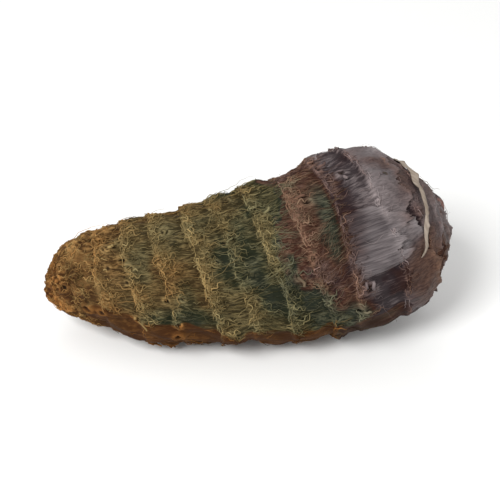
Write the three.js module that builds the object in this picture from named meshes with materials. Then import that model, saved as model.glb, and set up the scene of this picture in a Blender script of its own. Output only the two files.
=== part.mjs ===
// A yam tuber: a ringed, fibrous-skinned root, grown in one piece and lying on its side.
// X runs from the narrow tail (-X) to the blunt crown (+X), Z is up and Z = 0 is the surface that
// it lies on. The origin is under the middle of its box. Lengths are millimetres, angles radians.
import * as THREE from "three";

// The body
const LENGTH = 120; // tail to crown along X
const WIDEST = 49.5; // diameter at the shoulder
const SHOULDER = 0.8; // where the shoulder lies, as a share of the length from the tail
const FLANK_TAPER = 0.64; // diameter of the flanks carried back to the tail, over the widest
const TAIL_REACH = 0.25; // share of the length that the tail rounds off over
const TAIL_POWER = 0.5; // 0.5 is a round tail, 1 a pointed one
const CROWN_FULLNESS = 2.1; // 2 is an elliptic crown, more is blunter
const CROWN_POWER = 0.55;

// How it lies
const CORE_HEIGHT = 21.3; // height of the core line over the surface, at mid length
const CORE_LEAN = 0.11; // rise of the core line towards the crown, per millimetre
const CORE_BEND = 11; // how far both ends curve back towards +Y
const CORE_SAG = 4; // and how far they curve up
const TAIL_DROOP = 4; // how far the tip of the tail hangs under the core line
const DROOP_REACH = 0.12; // over this share of the length

// Cross-section and broad swellings
const OVAL = 0.028; // share by which the section is wider across one way
const OVAL_FACING = 0.9; // twice the angle of its wide side
const THREE_SIDED = 0.018;
const THREE_SIDED_TWIST = 0.02; // turn of the three sides, per millimetre along the skin
const SWELLS = [
  // height, waves per millimetre along the skin, lobes round it, phase
  [0.5, 0.105, 1, 0.6],
  [0.42, 0.19, -2, 2.1],
  [0.32, 0.33, 3, 4.0],
  [0.22, 0.52, -4, 1.2],
  [0.16, 0.26, 7, 5.3],
  [0.12, 0.41, -11, 3.4],
];
const POLE_FADE = 9; // radius under which swellings and rings fade into the two poles

// Matted strands: two sets of ridges along the skin that cross, and start afresh at each ring
const STRAND_HEIGHT = 0.32;
const STRAND_FADE = 19; // radius under which they fade into the two poles
const STRANDS = [
  // ridges round the body, lean in radians per millimetre, phase from one ring to the next
  [15, 0.3, 1.9],
  [21, -0.24, 2.7],
];

// The leaf-scar rings: distance from the tail along the skin, and height of each raised edge
const RINGS = [
  [9, 0.45],
  [16.5, 0.6],
  [25, 0.75],
  [34.2, 1.0],
  [43.4, 1.0],
  [54, 1.1],
  [63, 0.6],
  [73.3, 1.0],
  [86.8, 1.05],
  [98, 0.9],
  [107.5, 1.1],
  [115.5, 1.2],
  [122, 1.1],
  [127.5, 1.0],
  [132.5, 0.9],
];
const RING_FOOT = 0.8; // the edge climbs over this distance on its tail side
const RING_MAT = 3.2; // and its mat of fibre thins out over this distance on its crown side
const INTERNODE_SWELL = 0.35; // how far the skin barrels out between two rings
const RING_SKEW_Y = -0.165; // the rings lean: shift along X per millimetre off the core line,
const RING_SKEW_Z = -0.113; // on top of standing square to it
const RING_WAVER = 0.7; // and waver by up to about this much along X
const WAVER_TURNS = [0.11, 0.07]; // how the waver changes along the skin, per millimetre
const RING_DRAWS = [
  // rings drawn back towards the tail on one flank: how far, middle and half width along the skin,
  // the angle where it is most, and how closely it keeps there
  [7.6, 97, 10.3, 3.3, 1.5],
  [2.5, 86.8, 6, 2.2, 3],
];
const RING_FRAY = 0.22; // share by which their height changes along the edge
const BROAD_FRAY = 0.6; // of it, in two waves round each ring
const FINE_FRAY = 0.4; // and in many

// Tail scar, crown bud and side buds
const SCAR_RADIUS = 4.2;
const SCAR_RIM = 0.9;
const SCAR_DISH = 1.6;
const DISH_SHARE = 0.6; // radius of the dish over the scar's
const RIM_SHARE = 0.35; // half width of the rim over the scar's radius
const BUD_RADIUS = 4.4;
const BUD_HEIGHT = 4.6;
const SIDE_BUDS = [
  // distance from the tail along the skin, angle round the core line, height, radius
  [101, 0.5, 2.5, 4.4],
  [76.5, -0.3, 2.4, 4.0],
  [57, -2.75, 1.8, 3.6],
  [110, 1.9, 1.7, 3.6],
];

// Root scars, scattered over the skin by a seeded rule
const ROOT_SCARS = 64;
const ROOT_SEED = 20261;
const ROOT_RADIUS = [1.5, 2.3];
const ROOT_HEIGHT = [0.5, 1.1];
const ROOT_SPAN = [8, 118]; // where they may lie along the skin
const ROOT_BAND = [-1, 5.5]; // and how far past their ring
const ROOT_CROWDING = 1.5; // over 1 sets them closer to the ring

// How finely it is cut into facets
const SIDES = 68;
const ROW_PITCH = 1.9; // about this far apart between two rings
const MOST_ROWS = 6; // and no more than this many
const ROW_CROWDING = 1.25; // over 1 sets the rows closer together just past a ring
const POLE_ROWS = [0.06, 0.18, 0.36, 0.58, 0.8]; // shares of the way from a pole to its nearest ring
const OUTLINE_STEPS = 1600;

const TURN = 2 * Math.PI;

// Radius of the plain body at share t of its length.
function bodyRadius(t) {
  const along = Math.min(t / SHOULDER, 1);
  const flank = FLANK_TAPER + (1 - FLANK_TAPER) * along * along * (3 - 2 * along);
  const tail = t < TAIL_REACH ? (1 - (1 - t / TAIL_REACH) ** 2) ** TAIL_POWER : 1;
  const past = Math.max(t - SHOULDER, 0) / (1 - SHOULDER);
  const crown = Math.max(1 - past ** CROWN_FULLNESS, 0) ** CROWN_POWER;
  return (WIDEST / 2) * flank * tail * crown;
}

// The body's outline from tail to crown, with each point's distance along the skin.
function makeOutline() {
  const points = [];
  for (let i = 0; i <= OUTLINE_STEPS; i++) {
    const t = 0.5 - 0.5 * Math.cos((Math.PI * i) / OUTLINE_STEPS);
    points.push({ x: (t - 0.5) * LENGTH, r: bodyRadius(t), skin: 0 });
  }
  for (let i = 1; i <= OUTLINE_STEPS; i++) {
    const [a, b] = [points[i - 1], points[i]];
    b.skin = a.skin + Math.hypot(b.x - a.x, b.r - a.r);
  }
  return points;
}

const OUTLINE = makeOutline();
const SKIN_LENGTH = OUTLINE[OUTLINE_STEPS].skin;

// Where the outline is at a distance along the skin, and which way is out of it there.
function outlineAt(skin) {
  let [low, high] = [0, OUTLINE_STEPS];
  while (high - low > 1) {
    const middle = (low + high) >> 1;
    if (OUTLINE[middle].skin <= skin) low = middle;
    else high = middle;
  }
  const [a, b] = [OUTLINE[low], OUTLINE[high]];
  const share = (skin - a.skin) / (b.skin - a.skin);
  const slope = Math.atan2(b.r - a.r, b.x - a.x);
  return {
    x: THREE.MathUtils.lerp(a.x, b.x, share),
    r: THREE.MathUtils.lerp(a.r, b.r, share),
    outX: -Math.sin(slope),
    outR: Math.cos(slope),
  };
}

// Distance round the body between two angles, the short way.
function roundDistance(a, b, radius) {
  const turn = ((((a - b + Math.PI) % TURN) + TURN) % TURN) - Math.PI;
  return turn * radius;
}

// A seeded generator of numbers from 0 to 1.
const RANDOM_FACTOR = 48271;
const RANDOM_MODULUS = 2 ** 31 - 1;

function makeRandom(seed) {
  let state = seed;
  return () => {
    state = (state * RANDOM_FACTOR) % RANDOM_MODULUS;
    return state / RANDOM_MODULUS;
  };
}

function pick(range, random) {
  return range[0] + (range[1] - range[0]) * random();
}

// Root scars sit in the bands just past the rings.
function scatterRootScars() {
  const random = makeRandom(ROOT_SEED);
  const scars = [];
  while (scars.length < ROOT_SCARS) {
    const ring = RINGS[Math.floor(random() * RINGS.length)][0];
    const skin = ring + ROOT_BAND[0] + (ROOT_BAND[1] - ROOT_BAND[0]) * random() ** ROOT_CROWDING;
    const angle = TURN * random();
    const radius = pick(ROOT_RADIUS, random);
    const height = pick(ROOT_HEIGHT, random);
    if (skin > ROOT_SPAN[0] && skin < ROOT_SPAN[1]) scars.push([skin, angle, height, radius]);
  }
  return scars;
}

const KNOBS = [...SIDE_BUDS, ...scatterRootScars()];

// Raised edge of each ring, steep towards the tail and trailing off towards the crown.
function ringRelief(skin, angle) {
  let relief = 0;
  RINGS.forEach(([at, height], i) => {
    const past = skin - at;
    const broad = Math.sin(2 * angle + 2.4 * i);
    const fine = Math.sin(13 * angle + 1.7 * i) * Math.sin(5 * angle + i);
    const strength = height * (1 - RING_FRAY + RING_FRAY * (BROAD_FRAY * broad + FINE_FRAY * fine));
    if (past >= 0) relief = Math.max(relief, strength * Math.exp(-past / RING_MAT));
    else relief = Math.max(relief, strength * (1 + past / RING_FOOT));
    const next = i + 1 < RINGS.length ? RINGS[i + 1][0] : SKIN_LENGTH;
    const share = past / (next - at);
    if (share > 0 && share < 1) relief += INTERNODE_SWELL * Math.sin(Math.PI * share) ** 2;
  });
  return relief;
}

function knobRelief(skin, angle, radius) {
  let relief = 0;
  for (const [at, turn, height, size] of KNOBS) {
    const along = skin - at;
    const round = roundDistance(angle, turn, radius);
    relief += height * Math.exp(-(along * along + round * round) / (size * size));
  }
  return relief;
}

// Ridges of matted strands, which lie flat where they start and end at a ring.
function strandRelief(skin, angle) {
  const ring = RINGS.findLastIndex(([at]) => at <= skin);
  const start = ring < 0 ? 0 : RINGS[ring][0];
  const end = ring + 1 < RINGS.length ? RINGS[ring + 1][0] : SKIN_LENGTH;
  const flat = Math.sin((Math.PI * (skin - start)) / (end - start));
  let relief = 0;
  for (const [ridges, lean, phase] of STRANDS)
    relief += STRAND_HEIGHT * Math.sin(ridges * angle + lean * skin + phase * ring);
  return relief * flat;
}

function swellRelief(skin, angle) {
  let relief = 0;
  for (const [height, waves, lobes, phase] of SWELLS)
    relief += height * Math.sin(waves * skin + lobes * angle + phase);
  return relief;
}

// The dished scar at the tail, with its corky rim, and the blunt bud in the crown.
function poleRelief(skin, radius) {
  if (skin < SKIN_LENGTH / 2) {
    const dish = SCAR_DISH * Math.exp(-((radius / (DISH_SHARE * SCAR_RADIUS)) ** 2));
    const rim = SCAR_RIM * Math.exp(-(((radius - SCAR_RADIUS) / (RIM_SHARE * SCAR_RADIUS)) ** 2));
    return rim - dish;
  }
  return BUD_HEIGHT * Math.exp(-((radius / BUD_RADIUS) ** 2));
}

// How far the rings are drawn back towards the tail at a place.
function ringDraw(skin, angle) {
  let draw = 0;
  for (const [amount, middle, width, facing, closeness] of RING_DRAWS) {
    const along = Math.exp(-(((skin - middle) / width) ** 2));
    draw += amount * along * Math.exp(closeness * (Math.cos(angle - facing) - 1));
  }
  return draw;
}

// The point of the skin at a distance from the tail and an angle round the core line.
function skinPoint(skin, angle) {
  const { x, r, outX, outR } = outlineAt(skin - ringDraw(skin, angle));
  const fade = Math.min(r / POLE_FADE, 1);
  const oval = OVAL * Math.cos(2 * angle - OVAL_FACING);
  const section = 1 + oval + THREE_SIDED * Math.cos(3 * angle + THREE_SIDED_TWIST * skin);
  const matting = Math.min(r / STRAND_FADE, 1) ** 2;
  const relief =
    (ringRelief(skin, angle) + swellRelief(skin, angle)) * fade +
    strandRelief(skin, angle) * matting +
    knobRelief(skin, angle, r) +
    poleRelief(skin, r);
  const radius = r * section + outR * relief;
  const y = radius * Math.cos(angle);
  const z = radius * Math.sin(angle);
  const sway = Math.sin(2 * angle + WAVER_TURNS[0] * skin) * Math.cos(3 * angle + WAVER_TURNS[1] * skin);
  const core = (2 * x) / LENGTH; // -1 at the tail, 1 at the crown
  const rise = CORE_LEAN * x + CORE_SAG * core * core;
  const droop = TAIL_DROOP * Math.max(1 - (1 + core) / (2 * DROOP_REACH), 0) ** 2;
  const slopeY = (4 * CORE_BEND * core) / LENGTH;
  const slopeZ = CORE_LEAN + (4 * CORE_SAG * core) / LENGTH;
  const lean = (1 - core) * (1 - core ** 4); // the rings' own lean fades out at both poles
  const skew = (lean * RING_SKEW_Y - slopeY) * y + (lean * RING_SKEW_Z - slopeZ) * z;
  return [
    x + outX * relief + RING_WAVER * fade * sway + skew,
    y + CORE_BEND * core * core,
    Math.max(CORE_HEIGHT + rise - droop + z, 0), // the underside is pressed flat where it lies
  ];
}

// Distances along the skin of the rows of facets, closest together where a ring's edge climbs.
function rowDistances() {
  const first = RINGS[0][0];
  const last = RINGS[RINGS.length - 1][0];
  const rows = POLE_ROWS.map((share) => share * (first - RING_FOOT));
  RINGS.forEach(([at], i) => {
    rows.push(at - RING_FOOT);
    if (i + 1 < RINGS.length) {
      const gap = RINGS[i + 1][0] - RING_FOOT - at;
      const count = Math.min(Math.round(gap / ROW_PITCH), MOST_ROWS);
      for (let row = 0; row < count; row++) rows.push(at + gap * (row / count) ** ROW_CROWDING);
    }
  });
  rows.push(last);
  for (const share of [...POLE_ROWS].reverse()) rows.push(SKIN_LENGTH - share * (SKIN_LENGTH - last));
  return rows;
}

function makeTuberGeometry() {
  const rows = rowDistances();
  const positions = [];
  for (const skin of rows)
    for (let side = 0; side < SIDES; side++) positions.push(...skinPoint(skin, (side / SIDES) * TURN));
  const tail = positions.length / 3;
  positions.push(...skinPoint(0, 0));
  const crown = tail + 1;
  positions.push(...skinPoint(SKIN_LENGTH, 0));

  const faces = [];
  for (let side = 0; side < SIDES; side++) {
    const next = (side + 1) % SIDES;
    faces.push(tail, next, side);
    for (let row = 0; row + 1 < rows.length; row++) {
      const [a, b] = [row * SIDES + side, row * SIDES + next];
      faces.push(a, b, b + SIDES, a, b + SIDES, a + SIDES);
    }
    const top = (rows.length - 1) * SIDES;
    faces.push(crown, top + side, top + next);
  }

  const geometry = new THREE.BufferGeometry();
  geometry.setAttribute("position", new THREE.Float32BufferAttribute(positions, 3));
  geometry.setIndex(faces);
  geometry.computeBoundingBox();
  const middle = geometry.boundingBox.getCenter(new THREE.Vector3());
  geometry.translate(-middle.x, -middle.y, 0);
  geometry.computeVertexNormals();
  return geometry;
}

function makeTuber() {
  const skin = new THREE.MeshStandardMaterial({ color: 0x6a5030, roughness: 0.9, metalness: 0 });
  skin.name = "skin";
  const tuber = new THREE.Mesh(makeTuberGeometry(), skin);
  tuber.name = "tuber";
  return tuber;
}

const yamTuber = new THREE.Group();
yamTuber.name = "yam_tuber";
yamTuber.add(makeTuber());

export default yamTuber;
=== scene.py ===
"""The looks of a yam tuber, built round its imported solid.

The fine skin follows the same rule as the solid's relief, on a closer grid. Geometry Nodes lay the fibres,
mats, ring edges, rootlets and root stubs over it, and thin shells make the papery sheaths and the leaf
strip. The rule's lengths are millimetres, Blender's are metres.
"""

import math

import bpy
import numpy as np
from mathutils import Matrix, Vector


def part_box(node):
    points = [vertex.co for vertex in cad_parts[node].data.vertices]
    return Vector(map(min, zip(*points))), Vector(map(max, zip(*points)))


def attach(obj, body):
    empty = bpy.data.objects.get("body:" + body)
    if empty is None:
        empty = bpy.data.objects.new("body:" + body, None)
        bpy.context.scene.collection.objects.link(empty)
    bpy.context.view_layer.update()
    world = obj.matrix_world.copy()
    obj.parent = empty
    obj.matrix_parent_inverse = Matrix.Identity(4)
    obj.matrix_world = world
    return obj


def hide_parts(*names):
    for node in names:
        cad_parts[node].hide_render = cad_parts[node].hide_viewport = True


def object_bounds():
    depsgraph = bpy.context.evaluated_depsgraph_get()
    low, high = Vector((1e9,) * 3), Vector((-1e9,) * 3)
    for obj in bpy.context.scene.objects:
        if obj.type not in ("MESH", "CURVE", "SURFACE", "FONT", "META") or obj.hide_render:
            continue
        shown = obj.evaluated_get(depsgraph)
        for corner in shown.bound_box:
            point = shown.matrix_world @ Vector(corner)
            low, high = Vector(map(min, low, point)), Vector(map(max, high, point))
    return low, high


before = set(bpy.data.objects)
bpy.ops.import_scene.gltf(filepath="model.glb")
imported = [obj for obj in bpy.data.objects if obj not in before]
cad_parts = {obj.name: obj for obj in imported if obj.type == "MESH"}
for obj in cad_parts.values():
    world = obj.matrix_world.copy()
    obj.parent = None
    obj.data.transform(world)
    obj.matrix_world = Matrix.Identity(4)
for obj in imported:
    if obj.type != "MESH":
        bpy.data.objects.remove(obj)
CAD_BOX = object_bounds()

bl_info = {
    "name": "Yam Tuber",
    "version": (1, 0, 0),
    "blender": (4, 5, 0),
    "location": "View3D > Sidebar > Yam Tuber",
    "description": "Builds the fibrous skin, rootlets and crown of a yam tuber, and a plain stage",
    "category": "Object",
}

MM = 0.001
TURN = 2 * math.pi
BODY = "root"
NODE = "tuber"
FLOOR_HALF = 1.5

# The solid's own rule: its body, how it lies, its section and its swellings
LENGTH = 120
WIDEST = 49.5
SHOULDER = 0.8
FLANK_TAPER = 0.64
TAIL_REACH = 0.25
TAIL_POWER = 0.5
CROWN_FULLNESS = 2.1
CROWN_POWER = 0.55
CORE_HEIGHT = 21.3
CORE_LEAN = 0.11
CORE_BEND = 11
CORE_SAG = 4
TAIL_DROOP = 4
DROOP_REACH = 0.12
OVAL = 0.028
OVAL_FACING = 0.9
THREE_SIDED = 0.018
THREE_SIDED_TWIST = 0.02
SWELLS = (
    (0.5, 0.105, 1, 0.6), (0.42, 0.19, -2, 2.1), (0.32, 0.33, 3, 4), (0.22, 0.52, -4, 1.2),
    (0.16, 0.26, 7, 5.3), (0.12, 0.41, -11, 3.4),
)
POLE_FADE = 9
STRAND_HEIGHT = 0.32
STRAND_FADE = 19
STRANDS = ((15, 0.3, 1.9), (21, -0.24, 2.7))

# Its rings, poles, side buds and root scars
RINGS = (
    (9, 0.45), (16.5, 0.6), (25, 0.75), (34.2, 1), (43.4, 1), (54, 1.1), (63, 0.6), (73.3, 1), (86.8, 1.05),
    (98, 0.9), (107.5, 1.1), (115.5, 1.2), (122, 1.1), (127.5, 1), (132.5, 0.9),
)
RING_FOOT = 0.8
RING_MAT = 3.2
INTERNODE_SWELL = 0.35
RING_SKEW_Y = -0.165
RING_SKEW_Z = -0.113
RING_WAVER = 0.7
WAVER_TURNS = (0.11, 0.07)
RING_DRAWS = ((7.6, 97, 10.3, 3.3, 1.5), (2.5, 86.8, 6, 2.2, 3))
RING_FRAY = 0.22
BROAD_FRAY = 0.6
FINE_FRAY = 0.4
SCAR_RADIUS = 4.2
SCAR_RIM = 0.9
SCAR_DISH = 1.6
DISH_SHARE = 0.6
RIM_SHARE = 0.35
BUD_RADIUS = 4.4
BUD_HEIGHT = 4.6
SIDE_BUDS = (
    (101, 0.5, 2.5, 4.4), (76.5, -0.3, 2.4, 4), (57, -2.75, 1.8, 3.6), (110, 1.9, 1.7, 3.6),
)
ROOT_SCARS = 64
ROOT_SEED = 20261
ROOT_RADIUS = (1.5, 2.3)
ROOT_HEIGHT = (0.5, 1.1)
ROOT_SPAN = (8, 118)
ROOT_BAND = (-1, 5.5)
ROOT_CROWDING = 1.5
RANDOM_FACTOR = 48271
RANDOM_MODULUS = 2**31 - 1
OUTLINE_STEPS = 1600

# How finely the skin is cut
SIDES = 300
ROW_PITCH = 0.48
FOOT_ROWS = 3
POLE_ROWS = 12

# Finer root scars on the side that shows most: place along and round, height, radius
FRONT_SCARS = (
    (87.6, 2.5, 0.7, 1.9), (58.9, 2.3, 0.5, 1.3), (29.3, 2.26, 0.5, 1.4), (33.4, 3.17, 0.7, 1.7),
    (47, 2.77, 0.5, 1.2), (76.5, 1.81, 0.6, 1.4), (33.3, 2.51, 0.4, 1.1), (23.8, 3.15, 0.5, 1.4),
    (42.6, 2.23, 0.4, 1.1), (66, 2.9, 0.4, 1.2),
)

# The skin's finer relief: wrinkles along it, clumps of mat past each ring, corky bumps at the tail
WRINKLE = 0.16
CLUMP = 0.34
CORK = 0.42

# Zones: how far the golden band reaches past a ring, and how far the corky tail reaches
BAND_REACH = 2.7
CORK_REACH = 29
CORK_FADE = 8
# The smooth strip along the underside: the angles where it starts, by distance from the tail, and ends
BARE_FROM = ((15, 2.95), (37, 3.12), (55, 3.36), (71, 3.4), (82, 3.42), (100, 3.38))
BARE_TO = 4.5
BARE_EDGE = 0.1
# Where along the skin that strip fades in and out, and over how far
BARE_START, BARE_STOP = (14, 8), (112, 10)

# Where the coat's colour runs along the skin: distance from the tail, place in the colour range, tone
COAT_STATIONS = (
    (0, 0, 0.18), (14, 0.03, 0.23), (24, 0.15, 0.36), (33, 0.24, 0.33), (44, 0.27, 0.25), (54, 0.3, 0.21),
    (60, 0.37, 0.17), (70, 0.43, 0.15), (73, 0.38, 0.2), (76.5, 0.4, 0.2), (80.3, 0.42, 0.17),
    (81.3, 0.64, 0.235), (96, 0.67, 0.225), (101, 0.84, 0.2), (122, 0.78, 0.24), (134, 0.72, 0.28),
    (137.5, 0.96, 0.3), (140, 0.99, 0.4),
)
# How far the edge of the maroon skin runs ahead towards the tail, by angle
MAROON_EDGE = (
    (1.3, 0), (1.56, -4.5), (1.86, 0), (2.1, 5.5), (2.24, 8), (2.41, 9), (2.62, 9), (2.78, 7.5), (2.9, 1),
    (3, 0),
)

# Patches: distance from the tail, angle, half length, half width round it, place in the colour range,
# how far it goes there, shift in tone
PATCHES = (
    (7, 2.9, 5, 6, 0, 0, 0.1), (19, 2.1, 9, 9, 0.13, 0.5, 0.1), (18, 2.6, 4, 5, 0, 0, -0.06),
    (29.5, 2.45, 4.5, 8, 0.2, 0.3, 0.06), (38, 2.3, 3, 6, 0.4, 0.7, -0.06),
    (48, 2.9, 3, 8, 0.43, 0.7, -0.08), (45, 3.12, 9, 3.2, 0.5, 0.8, -0.13),
    (61, 2.3, 3.5, 6, 0.5, 0.7, -0.07), (69.5, 2.5, 3.5, 6, 0.5, 0.9, 0),
    (70, 2.95, 3.5, 6, 0.52, 0.9, -0.1), (61, 3, 4.5, 8, 0.26, 0.7, 0.12),
    (75.4, 1.95, 2.8, 8, 0.33, 0.8, 0.08), (72.2, 2.55, 2.4, 4.5, 0.36, 0.8, 0.14),
    (74.5, 3.06, 3.6, 8, 0.49, 0.9, -0.12), (84, 3.3, 7, 10, 0.5, 1, -0.04),
    (92.5, 3.5, 6.5, 8, 0.51, 1, -0.06), (86.8, 2.2, 1.4, 14, 0.66, 0.9, 0.5),
    (91, 2.2, 2.5, 14, 0.67, 0.5, 0.06), (95.3, 2.15, 2.8, 16, 0.54, 1, 0.08),
    (98.1, 1.8, 1.1, 14, 0.8, 0.8, -0.14), (100.5, 2.3, 2.6, 13, 0.76, 0.8, -0.26),
    (98.2, 2.95, 1.3, 7, 0.68, 0.9, 0.04), (92.5, 2.7, 3.5, 10, 0.66, 0, -0.05),
    (105.5, 2.5, 4.4, 9, 0.91, 1, -0.16), (108.5, 2.05, 6, 9, 0.9, 0.9, 0.18),
    (103.5, 3.1, 5, 7, 0.87, 0.9, -0.14), (97, 3.25, 5, 4, 0.5, 0.8, -0.1),
    (115, 3.05, 9, 9, 0.66, 1, -0.24), (50, 0.2, 9, 10, 0.44, 0.7, -0.06),
    (88, -0.6, 8, 12, 0.48, 0.8, 0.02), (30, -1.2, 8, 8, 0.27, 0.7, -0.06),
)
# Where hairs lie aslant: distance from the tail, angle, half length, half width round it, turn
SLANTS = (
    (90.5, 2.75, 6.5, 14, 0.8), (72, 2.55, 4.5, 6, 0.6), (92, 0.6, 8, 15, -0.6), (66, 3.3, 5, 8, -0.5),
    (56, -0.8, 6, 12, 0.5),
)

# Papery sheaths: distance from the tail of the ring that bears them, length, middle angle, half angle
SHEATHS = (
    (97.9, 14.9, 2.5, 0.42), (98, 9, 0.4, 0.8), (98.2, 8, -1.2, 0.7), (107, 12, 1.75, 0.7),
    (107.3, 10, 3, 0.66), (107.2, 10, -0.5, 0.9), (115, 11, 2.2, 0.9), (115.3, 10, 0.2, 0.9),
    (115.2, 10, -1.8, 0.9), (121.8, 9, 1.2, 1.1), (121.6, 9, -0.7, 1), (121.9, 9, 3.3, 1.1),
    (127.4, 8, 0.4, 1.2), (127.2, 8, 2.6, 1.2), (132.2, 7, 1.6, 1.3), (132.4, 7, 4.6, 1.4),
)

# The dry leaf strip that lies round the crown: angle, distance from the tail, half width
LEAF_STRIP = (
    (0.68, 127.6, 0.3), (0.95, 126.6, 1.5), (1.5, 124.2, 1.15), (1.8, 122.8, 1), (2.1, 119.8, 0.8),
    (2.4, 116.4, 0.65), (2.6, 114.5, 0.55), (3, 111.6, 0.35),
)


# ---- the solid's rule

def body_radius(t):
    """Radius of the plain body at share t of its length."""
    along = np.minimum(t / SHOULDER, 1)
    flank = FLANK_TAPER + (1 - FLANK_TAPER) * along * along * (3 - 2 * along)
    tail = (1 - (1 - np.minimum(t / TAIL_REACH, 1)) ** 2) ** TAIL_POWER
    past = np.maximum(t - SHOULDER, 0) / (1 - SHOULDER)
    crown = np.maximum(1 - past**CROWN_FULLNESS, 0) ** CROWN_POWER
    return WIDEST / 2 * flank * tail * crown


def make_outline():
    """The body's outline from tail to crown: x, radius, and distance along the skin."""
    t = 0.5 - 0.5 * np.cos(np.pi * np.arange(OUTLINE_STEPS + 1) / OUTLINE_STEPS)
    x = (t - 0.5) * LENGTH
    r = body_radius(t)
    steps = np.hypot(np.diff(x), np.diff(r))
    return x, r, np.concatenate([[0], np.cumsum(steps)])


OUTLINE_X, OUTLINE_R, OUTLINE_SKIN = make_outline()
SKIN_LENGTH = float(OUTLINE_SKIN[-1])


def outline_at(skin):
    """Where the outline is at distances along the skin, and which way is out of it there."""
    low = np.clip(np.searchsorted(OUTLINE_SKIN, skin, side="right") - 1, 0, OUTLINE_STEPS - 1)
    share = (skin - OUTLINE_SKIN[low]) / (OUTLINE_SKIN[low + 1] - OUTLINE_SKIN[low])
    dx = OUTLINE_X[low + 1] - OUTLINE_X[low]
    dr = OUTLINE_R[low + 1] - OUTLINE_R[low]
    slope = np.arctan2(dr, dx)
    return OUTLINE_X[low] + share * dx, OUTLINE_R[low] + share * dr, -np.sin(slope), np.cos(slope)


def radius_at(skin):
    """The plain body's radius at distances along the skin."""
    return outline_at(skin)[1]


def bell(x):
    """A smooth bump, 1 where x is 0."""
    return np.exp(-(x**2))


def limited(x):
    """Values kept from 0 to 1."""
    return np.clip(x, 0, 1)


def round_distance(a, b, radius):
    """Distance round the body between two angles, the short way."""
    return ((a - b + math.pi) % TURN - math.pi) * radius


def make_random(seed):
    """The solid's own seeded generator of numbers from 0 to 1."""
    state = seed
    while True:
        state = (state * RANDOM_FACTOR) % RANDOM_MODULUS
        yield state / RANDOM_MODULUS


def scatter_root_scars():
    """The root scars, in the bands just past the rings: place along and round, height, radius."""
    random = make_random(ROOT_SEED)
    scars = []
    while len(scars) < ROOT_SCARS:
        ring = RINGS[math.floor(next(random) * len(RINGS))][0]
        skin = ring + ROOT_BAND[0] + (ROOT_BAND[1] - ROOT_BAND[0]) * next(random) ** ROOT_CROWDING
        angle = TURN * next(random)
        radius = ROOT_RADIUS[0] + (ROOT_RADIUS[1] - ROOT_RADIUS[0]) * next(random)
        height = ROOT_HEIGHT[0] + (ROOT_HEIGHT[1] - ROOT_HEIGHT[0]) * next(random)
        if ROOT_SPAN[0] < skin < ROOT_SPAN[1]:
            scars.append((skin, angle, height, radius))
    return scars


SCARS = scatter_root_scars() + list(FRONT_SCARS)


def ring_relief(skin, angle):
    """Raised edge of each ring, steep towards the tail and trailing off towards the crown."""
    relief = np.zeros_like(skin)
    for i, (at, height) in enumerate(RINGS):
        past = skin - at
        broad = np.sin(2 * angle + 2.4 * i)
        fine = np.sin(13 * angle + 1.7 * i) * np.sin(5 * angle + i)
        strength = height * (1 - RING_FRAY + RING_FRAY * (BROAD_FRAY * broad + FINE_FRAY * fine))
        edge = np.where(past >= 0, np.exp(-np.maximum(past, 0) / RING_MAT), 1 + past / RING_FOOT)
        relief = np.maximum(relief, strength * edge)
        following = RINGS[i + 1][0] if i + 1 < len(RINGS) else SKIN_LENGTH
        share = past / (following - at)
        between = (share > 0) & (share < 1)
        relief += np.where(between, INTERNODE_SWELL * np.sin(np.pi * share) ** 2, 0)
    return relief


def internode(skin):
    """Index of the ring behind each place (-1 at the tail), distance past it and share of the way on."""
    starts = np.array([at for at, _ in RINGS])
    ring = np.searchsorted(starts, skin, side="right") - 1
    edges = np.concatenate([[0], starts, [SKIN_LENGTH]])
    past = skin - edges[ring + 1]
    return ring, past, past / (edges[ring + 2] - edges[ring + 1])


def strand_relief(skin, angle):
    """Ridges of matted strands, which lie flat where they start and end at a ring."""
    ring, _, share = internode(skin)
    relief = np.zeros_like(skin)
    for ridges, lean, phase in STRANDS:
        relief += STRAND_HEIGHT * np.sin(ridges * angle + lean * skin + phase * ring)
    return relief * np.sin(np.pi * share)


def swell_relief(skin, angle):
    """Broad swellings of the body."""
    relief = np.zeros_like(skin)
    for height, waves, lobes, phase in SWELLS:
        relief += height * np.sin(waves * skin + lobes * angle + phase)
    return relief


def bud_relief(skin, angle, radius):
    """Side buds."""
    relief = np.zeros_like(skin)
    for at, turn, height, size in SIDE_BUDS:
        away = (skin - at) ** 2 + round_distance(angle, turn, radius) ** 2
        relief += height * np.exp(-away / size**2)
    return relief


def pole_relief(skin, radius):
    """The dished scar at the tail, with its corky rim, and the blunt bud in the crown."""
    dish = SCAR_DISH * bell(radius / (DISH_SHARE * SCAR_RADIUS))
    rim = SCAR_RIM * bell((radius - SCAR_RADIUS) / (RIM_SHARE * SCAR_RADIUS))
    bud = BUD_HEIGHT * bell(radius / BUD_RADIUS)
    return np.where(skin < SKIN_LENGTH / 2, rim - dish, bud)


# ---- the finer skin

# A root scar, over its radius: where its collar stands and how thick it is, how wide its pit is, how far
# round it the fibres are worn away and over what distance; and its collar and pit over its height
COLLAR_AT, COLLAR_WIDTH, PIT_WIDTH, WORN_REACH, WORN_EDGE = 0.62, 0.3, 0.36, 1.25, 0.4
COLLAR_HEIGHT, PIT_DEPTH = 1.1, 0.9
WAVE_COUNT = 28  # waves in a random field
MAROON_FROM, MAROON_FADE = 80, 8  # where the maroon skin starts, and how far its edge can wander
LAST_COAT, LAST_COAT_HUE = 136, 0.92  # where the crown's bud starts, and the furthest colour before it
FLOW_STEP = 0.6  # half the step along the skin over which its flow is measured
PAPER_FROM, PAPER_FADE = 96.5, 3  # where the papery crown starts, which grows few fibres
STUBS_FROM = 25  # where broken roots start to stand in the scars
FLOOR_GAP, FLOOR_FADE = 0.8, 1.5  # how far over the floor fibres start, and over what height they thicken

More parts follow.
